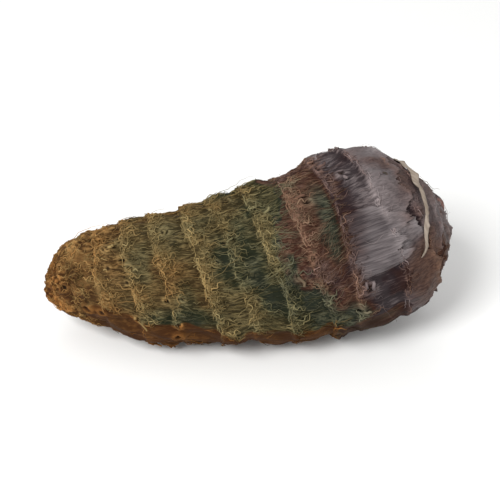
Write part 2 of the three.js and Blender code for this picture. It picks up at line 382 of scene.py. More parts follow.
# The coat's colour: how far a band goes towards gold, and from which colours; how the bands, the rings'
# edges and the painted shade at the feet before them, under the rings' edges, change its tone, and how wide
# those are
GILDING, GILDED_HUES = 0.07, (0.35, 0.55)
BAND_TONE, EDGE_TONE, FOOT_SHADE_TONE = 0.15, 0.24, -0.14
EDGE_WIDTH, FOOT_SHADE_WIDTH, FOOT_SHADE_BACK = 0.32, 0.8, 1.2
# The smooth strip: its place in the colour range up to a distance along the skin and past it, and its tone
STRIP_HUES, STRIP_TURNS, STRIP_TONE, STRIP_HOLD = (0.04, 0.63), 90, 0.04, 0.85
# How densely fibres stand, as a random field over the skin: usual share, change, size of its patches,
# seed, stretch along the skin, least and most
CLUMPS = 0.5, 0.9, 2.2, 41, 1, 0.03, 1.8
DASHES = 0.45, 0.9, 1.6, 43, 1, 0.05, 1.7
LOCKS = 0.65, 0.6, 2.4, 42, 1.6, 0.1, 1.5

# Random mottling: how much, the size of its patches in metres, and its seed
DRIFT_MOTTLE = (1.6, 0.006, 12), (1.2, 0.0022, 13)
HUE_MOTTLE = (0.05, 0.012, 3), (0.03, 0.004, 4)
TONE_MOTTLE = (0.06, 0.009, 5), (0.05, 0.003, 6), (0.05, 0.0016, 14)
PATCH_MOTTLE = (0.35, 0.006, 7), (0.2, 0.0022, 15)
KNOT_MOTTLE = ((0.7, 0.0022, 8),)
STRIP_HUE_MOTTLE = ((0.02, 0.006, 10),)
STRIP_TONE_MOTTLE = ((0.06, 0.007, 11),)


def crater_relief(skin, angle, radius):
    """Root scars, each a raised collar round a pit: their relief, where skin is worn, pits and collars."""
    relief, worn, pit, collars = np.zeros((4, *skin.shape))
    for at, turn, height, size in SCARS:
        away = np.sqrt((skin - at) ** 2 + round_distance(angle, turn, radius) ** 2) / size
        collar = bell((away - COLLAR_AT) / COLLAR_WIDTH)
        hole = bell(away / PIT_WIDTH)
        relief += height * (COLLAR_HEIGHT * collar - PIT_DEPTH * hole)
        worn = np.maximum(worn, limited((WORN_REACH - away) / WORN_EDGE))
        pit = np.maximum(pit, hole)
        collars = np.maximum(collars, collar)
    return relief, worn, pit, collars


def waves(points, size, seed):
    """A smooth random field over points, about -1 to 1, whose patches are about size across."""
    draw = np.random.default_rng(seed)
    ways = draw.normal(size=(WAVE_COUNT, 3))
    ways *= (draw.uniform(0.6, 1.4, WAVE_COUNT) * math.pi / size / np.linalg.norm(ways, axis=1))[:, None]
    phases = draw.uniform(0, TURN, WAVE_COUNT)
    return np.cos(points @ ways.T + phases).sum(axis=-1) / WAVE_COUNT**0.5


def unrolled(skin, angle, stretch=1.0):
    """Points of a cylinder that stands for the skin, so that a field has no seam: millimetres."""
    r = np.maximum(radius_at(skin), 3)
    return np.stack([skin / stretch, r * np.cos(angle), r * np.sin(angle)], axis=-1)


def skin_waves(skin, angle, size, seed, stretch=1.0):
    """A random field over the skin, drawn out along it by the stretch."""
    return waves(unrolled(skin, angle, stretch), size, seed)


def mottle(values, points, fields):
    """Values with random fields added."""
    for amount, size, seed in fields:
        values = values + amount * waves(points, size, seed)
    return values


def uneven(skin, angle, usual, change, size, seed, stretch, least, most):
    """A share of fibres that varies over the skin at random."""
    return np.clip(usual + change * skin_waves(skin, angle, size, seed, stretch), least, most)


def band(skin):
    """How far each place lies in the golden band past a ring, 0 to 1, times the ring's strength."""
    within = np.zeros_like(skin)
    for at, height in RINGS:
        past = skin - at
        reach = np.where(past < 0, bell(past / 0.5), bell(past / BAND_REACH))
        within = np.maximum(within, min(1.1 * height, 1) * reach)
    return within


def cork(skin):
    """How corky the skin is: 1 at the tail, 0 past it."""
    return limited((CORK_REACH - skin) / CORK_FADE)


def bare(skin, angle):
    """How bare the skin is: 1 in the smooth strip along its underside, 0 outside it."""
    wander = 0.05 * np.sin(0.31 * skin) + 0.03 * np.sin(0.83 * skin + 1)
    turn = np.mod(angle, TURN) + wander
    start = limited((turn - np.interp(skin, *zip(*BARE_FROM))) / BARE_EDGE)
    end = limited((BARE_TO - turn) / (3 * BARE_EDGE))
    start *= limited((skin - BARE_START[0]) / BARE_START[1])
    end *= limited((BARE_STOP[0] - skin) / BARE_STOP[1])
    return start * end


def cork_bumps(skin, angle):
    """Where the tail's cork stands out, 1, and where it cracks, -0.5."""
    scaly = limited(0.5 + skin_waves(skin, angle, 6, 35))
    return cork(skin) * scaly * np.minimum(1.2 * np.abs(skin_waves(skin, angle, 1.5, 34, 1.7)) - 0.5, 1)


def fine_relief(skin, angle):
    """Wrinkles, clumps and cork, too fine for the solid."""
    calm = np.minimum(radius_at(skin) / 5, 1)
    long_way = unrolled(skin, angle, 3.2)
    wrinkles = WRINKLE * waves(long_way, 1.0, 31) + 0.6 * WRINKLE * waves(long_way, 0.6, 32)
    clumps = CLUMP * band(skin) * skin_waves(skin, angle, 1.5, 33)
    bumps = CORK * cork_bumps(skin, angle)
    return (wrinkles + clumps + bumps) * calm * (1 - 0.7 * bare(skin, angle))


def whole_relief(skin, angle):
    """All of the skin's relief over the plain body."""
    r = radius_at(skin)
    return (
        (ring_relief(skin, angle) + swell_relief(skin, angle)) * np.minimum(r / POLE_FADE, 1)
        + strand_relief(skin, angle) * np.minimum(r / STRAND_FADE, 1) ** 2
        + bud_relief(skin, angle, r)
        + crater_relief(skin, angle, r)[0]
        + pole_relief(skin, r)
        + fine_relief(skin, angle)
    )


def ring_draw(skin, angle):
    """How far the rings are drawn back towards the tail."""
    draw = np.zeros_like(skin)
    for amount, middle, width, facing, closeness in RING_DRAWS:
        draw += amount * np.exp(-(((skin - middle) / width) ** 2) + closeness * (np.cos(angle - facing) - 1))
    return draw


def on_body(skin, angle, relief):
    """Places, in metres, at distances from the tail, angles round the core line and relief over the body."""
    x, r, out_x, out_r = outline_at(skin - ring_draw(skin, angle))
    fade = np.minimum(r / POLE_FADE, 1)
    oval = OVAL * np.cos(2 * angle - OVAL_FACING)
    section = 1 + oval + THREE_SIDED * np.cos(3 * angle + THREE_SIDED_TWIST * skin)
    radius = r * section + out_r * relief
    y = radius * np.cos(angle)
    z = radius * np.sin(angle)
    sway = np.sin(2 * angle + WAVER_TURNS[0] * skin) * np.cos(3 * angle + WAVER_TURNS[1] * skin)
    core = 2 * x / LENGTH
    rise = CORE_LEAN * x + CORE_SAG * core * core
    droop = TAIL_DROOP * np.maximum(1 - (1 + core) / (2 * DROOP_REACH), 0) ** 2
    slope_y = 4 * CORE_BEND * core / LENGTH
    slope_z = CORE_LEAN + 4 * CORE_SAG * core / LENGTH
    lean = (1 - core) * (1 - core**4)
    skew = (lean * RING_SKEW_Y - slope_y) * y + (lean * RING_SKEW_Z - slope_z) * z
    along = x + out_x * relief + RING_WAVER * fade * sway + skew
    up = np.maximum(CORE_HEIGHT + rise - droop + z, 0)
    return np.stack([along, y + CORE_BEND * core * core, up], axis=-1) * MM + SHIFT


def skin_rows():
    """Distances along the skin of the rows of faces, closest together where a ring's edge climbs."""
    ease = np.linspace(0, 1, POLE_ROWS + 1)[1:] ** 1.3
    rows = list((RINGS[0][0] - RING_FOOT) * ease[:-1])
    for i, (at, _) in enumerate(RINGS):
        rows += list(np.linspace(at - RING_FOOT, at, FOOT_ROWS, endpoint=False))
        if i + 1 < len(RINGS):
            gap = RINGS[i + 1][0] - RING_FOOT - at
            count = round(gap / ROW_PITCH)
            rows += list(at + gap * (np.arange(count) / count) ** 1.15)
    return np.array(rows + list(SKIN_LENGTH - (SKIN_LENGTH - RINGS[-1][0]) * ease[::-1]))


def skin_grid():
    """The distance along the skin and the angle round it, of each corner in the skin's rows."""
    return np.meshgrid(skin_rows(), np.arange(SIDES) * TURN / SIDES, indexing="ij")


def spot(skin, angle, at, turn, long, wide):
    """Squared distance from a spot on the skin, over its half length and its half width."""
    return ((skin - at) / long) ** 2 + (round_distance(angle, turn, radius_at(skin)) / wide) ** 2


def coat_colour(skin, angle, points):
    """Where each place lies in the coat's colour range (hue) and from dark to light (tone), 0 to 1."""
    # From the stations along it, with the maroon skin's edge run ahead
    stations, hues, tones = np.array(COAT_STATIONS).T
    drift = mottle(skin, points, DRIFT_MOTTLE)
    ahead = np.interp(np.mod(angle, TURN), *zip(*MAROON_EDGE))
    drift += ahead * np.exp(-(((skin - MAROON_FROM) / MAROON_FADE) ** 4))
    hue = np.interp(drift, stations, hues)
    tone = np.interp(drift, stations, tones)
    # Bands past the rings, bright edges, painted shade at the feet before them, and scaly cork
    golden, corky = band(skin), cork(skin)
    gilded = GILDING * golden * (hue > GILDED_HUES[0]) * (hue < GILDED_HUES[1])
    hue += mottle(0, points, HUE_MOTTLE) * (1 - 0.6 * corky) - gilded
    to_edge = np.min([np.abs(skin - at) for at, _ in RINGS], axis=0)
    to_foot_shade = np.min([np.abs(skin - (at - FOOT_SHADE_BACK)) for at, _ in RINGS], axis=0)
    knots = np.maximum(mottle(0.5, points, KNOT_MOTTLE), 0) * bell(to_edge / EDGE_WIDTH)
    # The foot just before each ring is darkened: painted shade under the ring's edge
    tone += BAND_TONE * golden + EDGE_TONE * knots + FOOT_SHADE_TONE * bell(to_foot_shade / FOOT_SHADE_WIDTH)
    tone += mottle(0, points, TONE_MOTTLE)
    scaly = limited(0.3 + skin_waves(skin, angle, 4, 9, 1.6))
    scaly *= 0.4 + 0.6 * np.cos((angle - 1.9) / 2) ** 2
    # The cork's tone rises on its raised bumps and falls in its cracks: painted highlight and painted shade
    # that follow its relief; its scaly mottling is its own colour
    tone += corky * (0.5 * cork_bumps(skin, angle) - 0.2 * scaly - 0.03)
    # Patches, then the smooth dark strip
    wander = mottle(1, points, PATCH_MOTTLE)
    for at, turn, long, wide, patch_hue, pull, tone_shift in PATCHES:
        weight = bell(spot(skin, angle, at, turn, long, wide) * wander)
        hue += (patch_hue - hue) * pull * weight
        tone += tone_shift * weight
    strip = bare(skin, angle)
    under = mottle(np.where(drift < STRIP_TURNS, *STRIP_HUES), points, STRIP_HUE_MOTTLE)
    hue += (under - hue) * limited(4 * strip - 1.5)
    tone += (mottle(STRIP_TONE, points, STRIP_TONE_MOTTLE) - tone) * strip * STRIP_HOLD
    return np.clip(hue, 0.01, np.where(skin < LAST_COAT, LAST_COAT_HUE, 0.99)), np.clip(tone, 0.02, 0.98)


def quads(grid):
    """Faces between the neighbours in a grid of corners."""
    return np.stack([grid[:-1, :-1], grid[:-1, 1:], grid[1:, 1:], grid[1:, :-1]], axis=-1).reshape(-1, 4)


def skin_mesh():
    """The closed skin, with the attributes that its finish and its fibres read."""
    skin, angle = skin_grid()
    rows = skin[:, 0]
    skin = np.concatenate([skin.ravel(), [0, SKIN_LENGTH]])
    angle = np.concatenate([angle.ravel(), [0, 0]])
    points = on_body(skin, angle, whole_relief(skin, angle))

    # Its flat sheet has one more column, where the skin's two ends meet, and a pole over each side
    row, side = np.indices((len(rows), SIDES + 1))
    cell = row * (SIDES + 1) + side
    tail, crown = cell.size + np.arange(2 * SIDES).reshape(2, SIDES)
    middle, last = np.arange(SIDES) + 0.5, len(points) - 1
    u = np.concatenate([side.ravel(), middle, middle]) / SIDES
    v = np.concatenate([(rows / SKIN_LENGTH)[row].ravel(), np.zeros(SIDES), np.ones(SIDES)])
    vertex = np.concatenate([(row * SIDES + side % SIDES).ravel(), np.repeat([last - 1, last], SIDES)])
    tail_fan = np.stack([tail, cell[0, 1:], cell[0, :-1]], axis=1)
    crown_fan = np.stack([crown, cell[-1, :-1], cell[-1, 1:]], axis=1)
    faces = quads(cell), tail_fan, crown_fan
    mesh = bpy.data.meshes.new("tuber_skin")
    mesh.from_pydata(points, [], [corners for part in faces for corners in vertex[part].tolist()])
    sheet = np.stack([u, v], axis=1)[np.concatenate([part.ravel() for part in faces])]
    mesh.uv_layers.new(name="OFBake").data.foreach_set("uv", sheet.ravel())
    store_skin_attributes(mesh, skin, angle, points)
    mesh.shade_smooth()
    return mesh


def store_skin_attributes(mesh, skin, angle, points):
    """Stores what the skin's finish and its fibres read."""
    r = radius_at(skin)
    flow = on_body(np.minimum(skin + FLOW_STEP, SKIN_LENGTH), angle, 0)
    flow -= on_body(np.maximum(skin - FLOW_STEP, 0), angle, 0)
    _, worn, pit, collar = crater_relief(skin, angle, r)
    hue, tone = coat_colour(skin, angle, points)
    golden, corky, strip = band(skin), cork(skin), bare(skin, angle)
    edge = np.zeros_like(skin)
    for at, height in RINGS:
        edge = np.maximum(edge, height * bell((skin - at - 0.1) / 0.35))
    turn = np.zeros_like(skin)
    for at, middle, long, wide, amount in SLANTS:
        turn += amount * bell(spot(skin, angle, at, middle, long, wide))
    off_floor = limited((points[:, 2] / MM - FLOOR_GAP) / FLOOR_FADE)
    open_skin = (1 - worn) * off_floor * np.minimum(r / 6, 1) * (1 - 0.93 * strip)
    papery = limited((skin - PAPER_FROM) / PAPER_FADE)
    clumps, dashes, locks = (uneven(skin, angle, *field) for field in (CLUMPS, DASHES, LOCKS))
    soft = (1 - 0.97 * corky) * (1 - 0.93 * papery)
    # The skin's tone is darkened where fibres cover it, and a little on the corky tail: painted shade under the
    # fibres and curls; the smooth strip keeps its tone
    ground = tone - (0.75 * np.maximum(tone - 0.2, 0) * soft + 0.07 * corky) * (1 - strip)
    for name, values in {
        "hue": hue,
        "tone": np.clip(tone + 0.3 * collar - 0.4 * pit, 0.01, 0.99),
        "ground": np.clip(ground + 0.3 * collar - 0.4 * pit, 0.01, 0.99),
        "pit": pit,
        "sleek": np.maximum(strip, 0.8 * corky),
        "band": open_skin * soft * clumps * golden,
        "field": open_skin * soft * locks * (1 - 0.6 * golden) * (1 + np.abs(turn)),
        "edge": open_skin * edge * dashes * (1 - 0.8 * corky) * (1 - 0.6 * papery),
        "tail": off_floor * corky * np.minimum(r / 4, 1) * (1 - 0.5 * worn) * (1 - strip),
        "anywhere": open_skin,
        "scar": limited(pit * off_floor * (skin > STUBS_FROM)),
        "turn": turn,
        "grain": unrolled(skin, angle) * MM,
        "flow": flow / np.linalg.norm(flow, axis=1)[:, None],
    }.items():
        store(mesh, name, values)


SHEATH_COLUMNS, SHEATH_ROWS = 96, 14
SHEATH_GAP = 0.25  # how far a sheath stands off the highest skin under it
SHEATH_THICKNESS = 0.22
SHEATH_CURL = 0.9  # how far its far edge lifts
SHEATH_SEED = 500


def smoothed(grid, reach):
    """A grid of values, averaged over its neighbours."""
    width = 2 * reach + 1
    for _ in range(2):
        padded = np.pad(grid, ((reach, reach), (0, 0)), mode="edge")
        total = np.cumsum(np.insert(padded, 0, 0, axis=0), axis=0)
        grid = ((total[width:] - total[:-width]) / width).T
    return grid


def sheath_grid():
    """Shares along a sheath, 0 to 1, and across it, -1 to 1."""
    shares = np.linspace(0, 1, SHEATH_ROWS)
    return np.meshgrid(shares, np.linspace(-1, 1, SHEATH_COLUMNS), indexing="ij")


def sheath_places(number, at, length, middle, half):
    """Where one sheath lies, how far it stands off the skin, and how pale it is."""
    along, across = sheath_grid()
    draw = np.random.default_rng(SHEATH_SEED + number)
    phase = draw.uniform(0, TURN, 4)
    ragged = 0.12 * np.sin(4 * across + phase[0]) + 0.07 * np.sin(11 * across + phase[1])
    torn = np.repeat(draw.uniform(-0.16, 0.04, SHEATH_COLUMNS // 3), 3)
    ragged += np.convolve(torn, (0.25, 0.5, 0.25), "same") + draw.uniform(-0.04, 0.04, SHEATH_COLUMNS)
    reach = length * (0.92 - 0.5 * across**4 + ragged)
    skin = np.minimum(at - 0.4 + along * reach, SKIN_LENGTH - 1.5)
    angle = middle + half * across + 0.05 * along * np.sin(2 * across + phase[3])
    ribs = 0.05 * np.sin(46 * half * across + 2 * np.sin(3 * along + phase[0]))
    curl = SHEATH_CURL * along**3 * (0.6 + 0.4 * np.sin(9 * across + phase[1]))
    edge = np.minimum(1, np.minimum(5 * along, 6 * (1 - np.abs(across))))
    pale = 0.5 + 0.5 * np.sin(3 * across + number)
    return skin, angle, ribs + curl, edge, (0.1 * pale * along, 0.1 + 0.3 * along**6 + 0.1 * pale)


def strip_places():
    """Where the dry leaf strip lies round the crown, like the places of a sheath."""
    along, across = sheath_grid()
    turns, skins, halves = np.array(LEAF_STRIP).T
    share = (across + 1) / 2
    angle = turns[0] + share * (turns[-1] - turns[0])
    half = np.interp(angle, turns, halves)
    skin = np.interp(angle, turns, skins) + (2 * along - 1) * half + 0.3 * np.sin(9 * share)
    lift = 0.3 + share + 0.5 * np.sin(math.pi * share) + 0.5 * half * (1 - (2 * along - 1) ** 2)
    edge = np.minimum(1, np.minimum(8 * share + 0.1, 12 * (1 - share)))
    return skin, angle, lift, edge, (0 * along, 0.2 + 0.1 * np.sin(7 * share))


def shells_mesh(name, all_places):
    """Thin closed shells over the skin, in one mesh, from the places of each."""
    grid = np.arange(SHEATH_ROWS * SHEATH_COLUMNS).reshape(SHEATH_ROWS, SHEATH_COLUMNS)
    rim = np.concatenate([grid[0, :-1], grid[:-1, -1], grid[-1, :0:-1], grid[:0:-1, 0]])
    after = np.roll(rim, -1)
    rim_faces = np.stack([after, rim, rim + grid.size, after + grid.size], axis=1)
    shell = np.concatenate([quads(grid), quads(grid)[:, ::-1] + grid.size, rim_faces])

    along, across = sheath_grid()
    points, faces, corners = [], [], []
    stored = {"hue": [], "tone": [], "grain": []}
    for number, (skin, angle, lift, edge, (hue_shift, paleness)) in enumerate(all_places):
        under = whole_relief(skin, angle)
        cover = np.maximum(smoothed(under, 3) + SHEATH_GAP, under + 0.1)
        relief = cover * edge + (under - 0.3) * (1 - edge) + lift * edge
        outer, inner = (on_body(skin, angle, relief - depth).reshape(-1, 3) for depth in (0, SHEATH_THICKNESS))
        points += [outer, inner]
        faces.append(shell + 2 * grid.size * number)
        hue, tone = coat_colour(skin.ravel(), angle.ravel(), outer)
        hue = np.clip(hue + hue_shift.ravel(), 0.02, LAST_COAT_HUE)
        tone = np.clip(0.5 * tone + paleness.ravel(), 0.02, 0.97)
        grain = unrolled(skin, angle).reshape(-1, 3) * MM + 0.04 * number
        for key, value in (("hue", hue), ("tone", tone), ("grain", grain)):
            stored[key] += [value, value]
        sheets = [
            np.stack([number + 0.5 + wide * across, low + high * along], axis=-1).reshape(-1, 2)
            for wide, low, high in ((0.46, 0.02, 0.96), (0.44, 0.035, 0.93))
        ]
        corners.append(np.concatenate(sheets)[shell] / (len(all_places), 1))
    mesh = bpy.data.meshes.new(name)
    mesh.from_pydata(np.concatenate(points), [], np.concatenate(faces).tolist())
    mesh.uv_layers.new(name="OFBake").data.foreach_set("uv", np.concatenate(corners).ravel())
    for key, values in stored.items():
        store(mesh, key, np.concatenate(values))
    mesh.shade_smooth()
    return mesh


def store(mesh, name, values):
    """Writes a number or a vector for each vertex of a mesh."""
    kind, key = ("FLOAT", "value") if values.ndim == 1 else ("FLOAT_VECTOR", "vector")
    mesh.attributes.new(name, kind, "POINT").data.foreach_set(key, values.astype(np.float32).ravel())


SHIFT = np.zeros(3)


def shift_to_frame():
    """Lays the rule's box over the solid's: the solid's origin is under the middle of its own box."""
    skin, angle = (part.ravel() for part in skin_grid())
    points = on_body(skin, angle, whole_relief(skin, angle))
    low, high = np.array(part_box(NODE))
    middle = (points.min(axis=0) + points.max(axis=0)) / 2
    SHIFT[:2] = ((low + high) / 2 - middle)[:2]


# ---- node helpers

class Value:
    """What a node gives. Arithmetic on it adds Math nodes, or Vector Math nodes where it is a vector."""

    def __init__(self, socket):
        self.socket = socket
        self.tree = socket.id_data

    def then(self, operation, *others):
        """The result of an operation on this value and others. The second value of SCALE is its factor."""
        kind = "ShaderNodeVectorMath" if self.socket.type == "VECTOR" else "ShaderNodeMath"
        inputs = {0: self, "Scale": others[0]} if operation == "SCALE" else dict(enumerate((self, *others)))
        return put(self.tree, kind, inputs, operation=operation)

    def beside(self, name):
        """Another output of the same node."""
        return Value(find(self.socket.node.outputs, name))

    def __add__(self, other):
        return self.then("ADD", other)

    def __sub__(self, other):
        return self.then("SUBTRACT", other)

    def __rsub__(self, other):
        return put(self.tree, "ShaderNodeMath", {0: other, 1: self}, operation="SUBTRACT")

    def __mul__(self, other):
        scaled = self.socket.type == "VECTOR" and not isinstance(other, tuple)
        return self.then("SCALE" if scaled else "MULTIPLY", other)

    def __truediv__(self, other):
        return self.then("DIVIDE", other)


def find(sockets, key):
    """The socket in use that has this name, or this place in the list."""
    if isinstance(key, int):
        return sockets[key]
    return next(s for s in sockets if s.enabled and s.name == key)


def put(tree, kind, inputs, output=0, **settings):
    """Adds a node, sets it up, gives each input its constant or its link, and returns one output."""
    node = tree.nodes.new(kind)
    for name, setting in settings.items():
        setattr(node, name, setting)
    for key, given in inputs.items():
        target = find(node.inputs, key)
        if isinstance(given, Value):
            tree.links.new(given.socket, target)
        else:
            target.default_value = given
    return Value(find(node.outputs, output))


def combined(tree, *parts):
    """A vector of three parts."""
    return put(tree, "ShaderNodeCombineXYZ", dict(enumerate(parts)))


def named(tree, name, kind="FLOAT"):
    """The value of a named attribute, in Geometry Nodes."""
    return put(tree, "GeometryNodeInputNamedAttribute", {"Name": name}, data_type=kind)


def kept(tree, geometry, name, value, kind="FLOAT", domain="POINT"):
    """The geometry with a value stored on it under a name."""
    inputs = {"Geometry": geometry, "Name": name, "Value": value}
    return put(tree, "GeometryNodeStoreNamedAttribute", inputs, data_type=kind, domain=domain)


# ---- strands over the skin

# Tone to Tip lightens each strand from its root to its tip: painted shade at the root, where the strand lies on
# the skin
STRAND_INPUTS = {
    "Where": "field", "Density": 1.0, "Length": 0.007, "Length Spread": 0.4, "Width": 0.0003,
    "Width Spread": 0.4, "Tip Width": 0.3, "Points": 7, "Sides": 3, "Along Ring": 0.0, "Sweep": 0.3,
    "Crimp": 0.0003, "Crimp Length": 0.004, "Curl": 0.0, "Wander": 0.001, "Root Depth": 0.0002,
    "Arch": 0.0004, "Tip Lift": 0.0003, "Colour From Place": 0.65, "Tone Shift": 0.0, "Tone Spread": 0.2,
    "Tone to Tip": 0.1, "Hue Shift": 0.0, "Streaks": 0.12, "Seed": 1,
}
SOCKET_KINDS = {str: "NodeSocketString", int: "NodeSocketInt", float: "NodeSocketFloat"}
# Steps from a piece's seed to each of its random draws
LENGTH_DRAW, TURN_DRAW, ARCH_DRAW, TIP_DRAW, WIDTH_DRAW = range(11, 16)
TONE_DRAW, HUE_DRAW, SIDE_DRAW, WAVE_DRAW = range(16, 20)
# How fine the noise is that neighbours share: in their turns, in their waves and in their tones
LOCK_SCALE, WAVE_SCALE, STREAK_SCALE = 160, 90, 900
HUE_SPREAD = 0.045
TONE_LIMITS = {"Min": 0.02, "Max": 0.97}
SHEET_DEPTH = 0.012  # how deep a strand lies in its sheet of colours


class StrandTree:
    """Geometry nodes that grow strands out of a skin and lay them along its flow."""

    def __init__(self):
        self.tree = tree = bpy.data.node_groups.new("strands_over_skin", "GeometryNodeTree")
        tree.interface.new_socket("Skin", in_out="INPUT", socket_type="NodeSocketGeometry")
        for name, default in STRAND_INPUTS.items():
            made = tree.interface.new_socket(name, in_out="INPUT", socket_type=SOCKET_KINDS[type(default)])
            made.default_value = default
        tree.interface.new_socket("Material", in_out="INPUT", socket_type="NodeSocketMaterial")
        tree.interface.new_socket("Strands", in_out="OUTPUT", socket_type="NodeSocketGeometry")
        self.given = {s.name: Value(s) for s in tree.nodes.new("NodeGroupInput").outputs if s.name}
        points = self.scattered()
        self.strand = named(tree, "strand", "INT")
        self.share = named(tree, "share")
        self.root = named(tree, "root", "FLOAT_VECTOR")
        inputs = {"Points": points, "Curve Group ID": self.strand, "Weight": self.share}
        curves = put(tree, "GeometryNodePointsToCurves", inputs)
        free, phase = self.course()
        width = self.varied("Width", self.given["Width Spread"], WIDTH_DRAW)
        curves = self.laid(curves, free, phase, width)
        mesh = self.rounded(self.coloured(curves, free), width)
        tree.links.new(mesh.socket, tree.nodes.new("NodeGroupOutput").inputs["Strands"])

    def drawn(self, step):
        """A random number from -1 to 1 for each strand, by a step from the seed."""
        seed = put(self.tree, "FunctionNodeIntegerMath", {0: self.given["Seed"], 1: step}, operation="ADD")
        inputs = {"Min": -1.0, "Max": 1.0, "ID": self.strand, "Seed": seed}
        return put(self.tree, "FunctionNodeRandomValue", inputs, "Value", data_type="FLOAT")

    def varied(self, name, amount, step):
        """A given value, times 1 give or take the amount."""
        return self.given[name] * (self.drawn(step) * amount + 1)

    def noise(self, vector, scale, step):
        """Smooth noise, mostly from -1 to 1."""
        inputs = {"Vector": vector + (step, 2.3 * step, -step), "Scale": scale, "Detail": 1}
        return put(self.tree, "ShaderNodeTexNoise", inputs, "Fac", noise_dimensions="3D") * 4 - 2

    def on_skin(self, value, place, kind):
        """A value of the skin, read where it is closest to a place."""
        inputs = {"Mesh": self.given["Skin"], "Value": value, "Sample Position": place}
        return put(self.tree, "GeometryNodeSampleNearestSurface", inputs, data_type=kind)

    def scattered(self):
        """Points to hang the strands on: each strand's root, repeated along it."""
        tree, given = self.tree, self.given
        density = named(tree, given["Where"]) * given["Density"]
        inputs = {"Mesh": given["Skin"], "Density": density, "Seed": given["Seed"]}
        points = put(tree, "GeometryNodeDistributePointsOnFaces", inputs, "Points")
        normal = points.beside("Normal")
        points = kept(tree, points, "root", put(tree, "GeometryNodeInputPosition", {}), "FLOAT_VECTOR")
        points = kept(tree, points, "out", normal, "FLOAT_VECTOR")
        points = kept(tree, points, "strand", put(tree, "GeometryNodeInputIndex", {}), "INT")
        inputs = {"Geometry": points, "Amount": given["Points"]}
        copies = put(tree, "GeometryNodeDuplicateElements", inputs, "Geometry", domain="POINT")
        share = copies.beside("Duplicate Index") / (given["Points"] - 1)
        return kept(tree, copies, "share", share)

    def course(self):
        """Where the strand would run if the skin were flat at its root, and the phase of its waves."""
        tree, given, share = self.tree, self.given, self.share
        flow = named(tree, "flow", "FLOAT_VECTOR")
        side = named(tree, "out", "FLOAT_VECTOR").then("CROSS_PRODUCT", flow).then("NORMALIZE")
        reach = self.varied("Length", given["Length Spread"], LENGTH_DRAW) * share
        loose = self.drawn(TURN_DRAW)
        turn = loose * 0.6 + self.noise(self.root, LOCK_SCALE, 5) * 0.6
        turn = turn * given["Sweep"] + named(tree, "turn")
        turn = self.drawn(SIDE_DRAW).then("SIGN") * (math.pi / 2) * given["Along Ring"] + turn
        cosine, sine = turn.then("COSINE"), turn.then("SINE")

        phase = loose * 1.2 + self.noise(self.root, WAVE_SCALE, 9) * 3
        phase = reach / self.varied("Crimp Length", 0.25, WAVE_DRAW) * TURN + phase
        drift = self.noise(combined(tree, share * 1.6, self.strand * 0.731, 0), 1, 3) * share
        sway = drift * given["Wander"] + phase.then("SINE") * given["Crimp"]
        ahead = cosine * reach - sine * sway
        aside = cosine * sway + sine * reach
        return self.root + (flow * ahead + side * aside), phase

    def laid(self, curves, free, phase, width):
        """Lays the course on the skin, sunk at its root and lifted in its middle and at its tip."""
        tree, given, share = self.tree, self.given, self.share
        inputs = {"Geometry": given["Skin"], "Sample Position": free}
        place = put(tree, "GeometryNodeProximity", inputs, "Position", target_element="FACES")
        up = self.on_skin(put(tree, "GeometryNodeInputNormal", {}), free, "FLOAT_VECTOR")
        curl = phase.then("COSINE") * 0.5 + 0.5
        arch = (share * math.pi).then("SINE") * (curl * given["Curl"] + self.varied("Arch", 0.8, ARCH_DRAW))
        tip = share.then("POWER", 1.6) * self.varied("Tip Lift", 0.9, TIP_DRAW)
        left = 1 - share
        place = place + up * (arch + tip - left * left * given["Root Depth"])
        x = put(tree, "ShaderNodeSeparateXYZ", {0: place})
        above = x.beside("Z").then("MAXIMUM", width * 0.5)
        inputs = {"Geometry": curves, "Position": combined(tree, x, x.beside("Y"), above)}
        return put(tree, "GeometryNodeSetPosition", inputs)

    def coloured(self, curves, free):
        """Stores each strand's tone and hue: part from its root, part from the skin it lies on."""
        tree, given = self.tree, self.given
        streaks = self.noise(named(tree, "grain", "FLOAT_VECTOR") * (0.35, 1, 1), STREAK_SCALE, 7)
        from_place = given["Colour From Place"]
        rules = {
            "tone": (TONE_DRAW, from_place, given["Tone Shift"], given["Tone Spread"]),
            "hue": (HUE_DRAW, from_place * 0.5, given["Hue Shift"], HUE_SPREAD),
        }
        for name, (step, pull, shift, spread) in rules.items():
            there = named(tree, name)
            here = self.on_skin(named(tree, name), free, "FLOAT")
            value = self.drawn(step) * spread + ((here - there) * pull + there + shift)
            if name == "tone":
                # Darker at the root and lighter towards the tip: painted shade where the strand meets the skin
                value = streaks * given["Streaks"] + (self.share * given["Tone to Tip"] + value)
            value = put(tree, "ShaderNodeClamp", {"Value": value, **TONE_LIMITS})
            curves = kept(tree, curves, name + "_here", value)
        for name in rules:
            curves = kept(tree, curves, name, named(tree, name + "_here"))
        return curves

    def rounded(self, curves, width):
        """Turns the curves into closed tapering tubes with their own sheet of colours."""
        tree, given = self.tree, self.given
        radius = (1 - self.share.then("POWER", 1.4) * (1 - given["Tip Width"])) * (width * 0.5)
        ring = put(tree, "GeometryNodeCurvePrimitiveCircle", {"Resolution": given["Sides"], "Radius": 1})
        ring = kept(tree, ring, "round", put(tree, "GeometryNodeSplineParameter", {}, "Factor"))
        inputs = {"Curve": curves, "Profile Curve": ring, "Scale": radius, "Fill Caps": True}
        mesh = put(tree, "GeometryNodeCurveToMesh", inputs)
        sheet = combined(tree, named(tree, "tone"), named(tree, "round") * SHEET_DEPTH + named(tree, "hue"), 0)
        mesh = kept(tree, mesh, "OFBake", sheet, "FLOAT2", "CORNER")
        mesh = put(tree, "GeometryNodeRealizeInstances", {"Geometry": mesh})
        return put(tree, "GeometryNodeSetMaterial", {"Geometry": mesh, "Material": given["Material"]})


